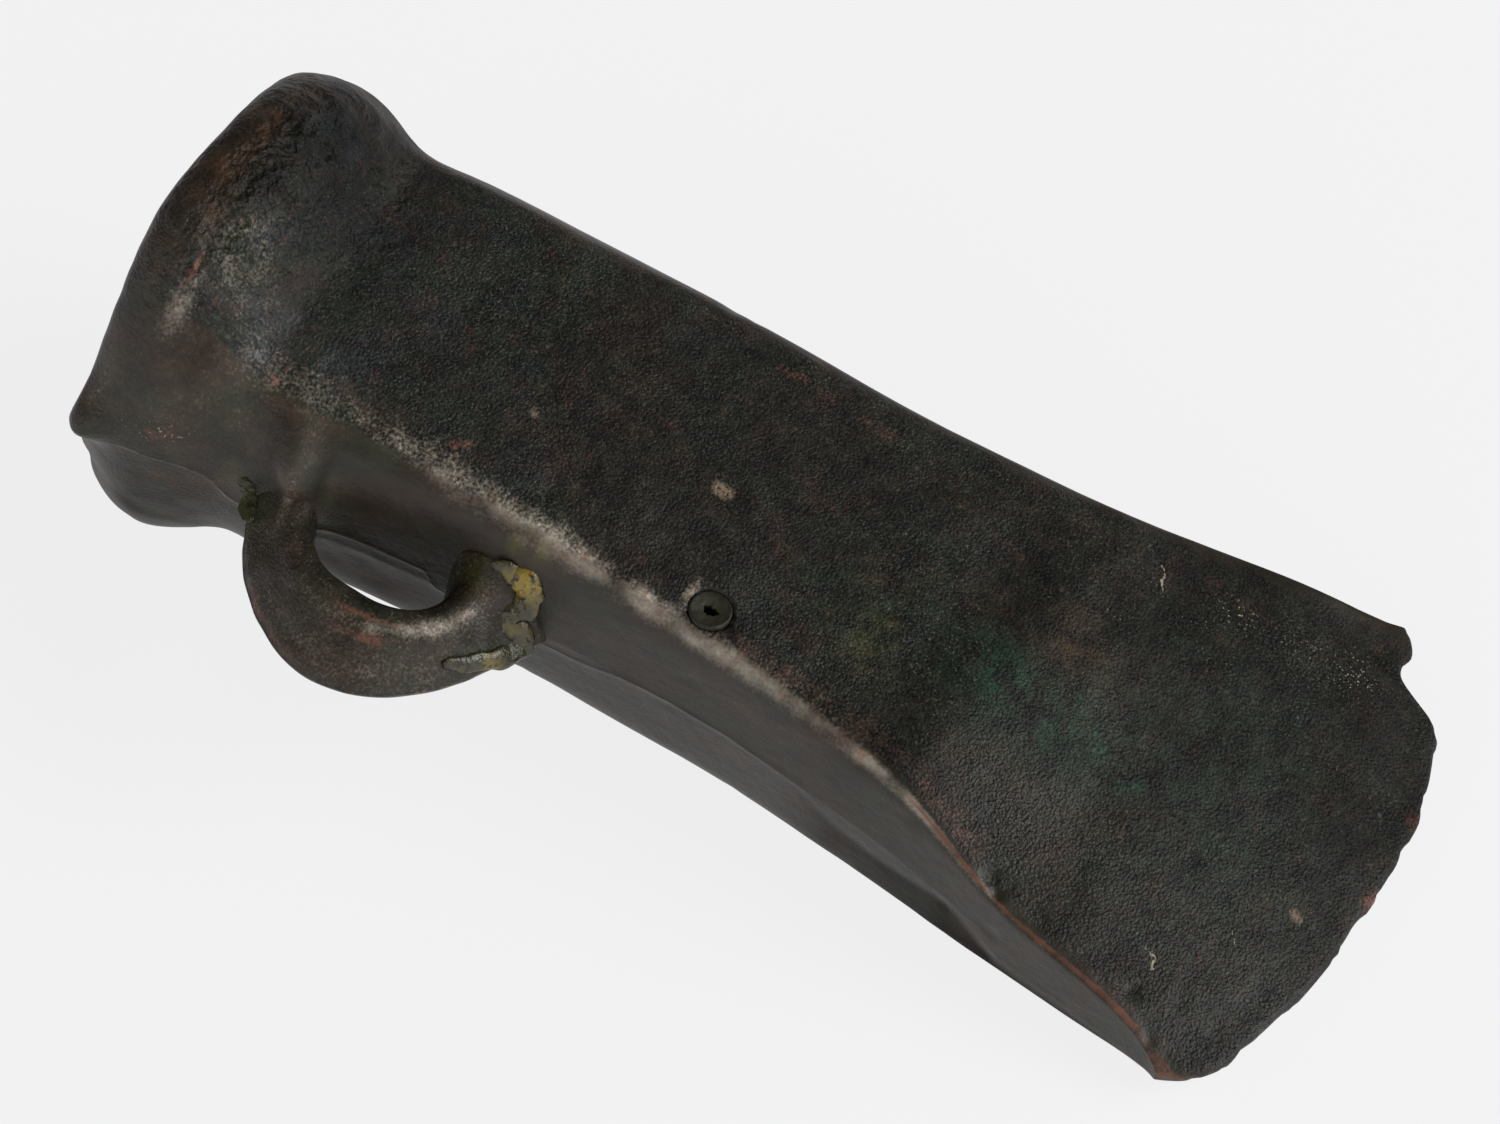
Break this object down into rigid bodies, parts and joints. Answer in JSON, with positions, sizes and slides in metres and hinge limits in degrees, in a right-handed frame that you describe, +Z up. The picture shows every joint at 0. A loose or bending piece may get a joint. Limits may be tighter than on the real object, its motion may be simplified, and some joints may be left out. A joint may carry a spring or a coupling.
{
  "type": "socketed axe head",
  "caption": "Ancient cast bronze socketed axe head with a trumpet mouth, a deep haft socket, a splayed blade and a side loop that was mended with resin.",
  "frame": {"origin": "on the table under the middle of the axe's bounding box, the axe lying on its lower broad face", "axes": "+X from the mouth towards the cutting edge, +Y across the broad faces away from the side loop, +Z up from the table"},
  "size_m": [0.1068, 0.0532, 0.0402],
  "materials": {
    "patinated_bronze": "cast bronze under a near-black brown and green burial patina, granular on the broad faces",
    "handled_bronze": "cast bronze with a smoother, satin grey-brown patina",
    "aged_resin": "yellowed glossy adhesive",
    "toned_resin": "thin olive-brown adhesive",
    "hole_filler": "toned gap filler, olive grey"
  },
  "bodies": {
    "root": {"axe_body": "patinated_bronze", "side_loop": "handled_bronze", "loop_foot_resin": "aged_resin", "loop_neck_resin": "toned_resin", "sample_hole_filler": "hole_filler"}
  },
  "joints": []
}
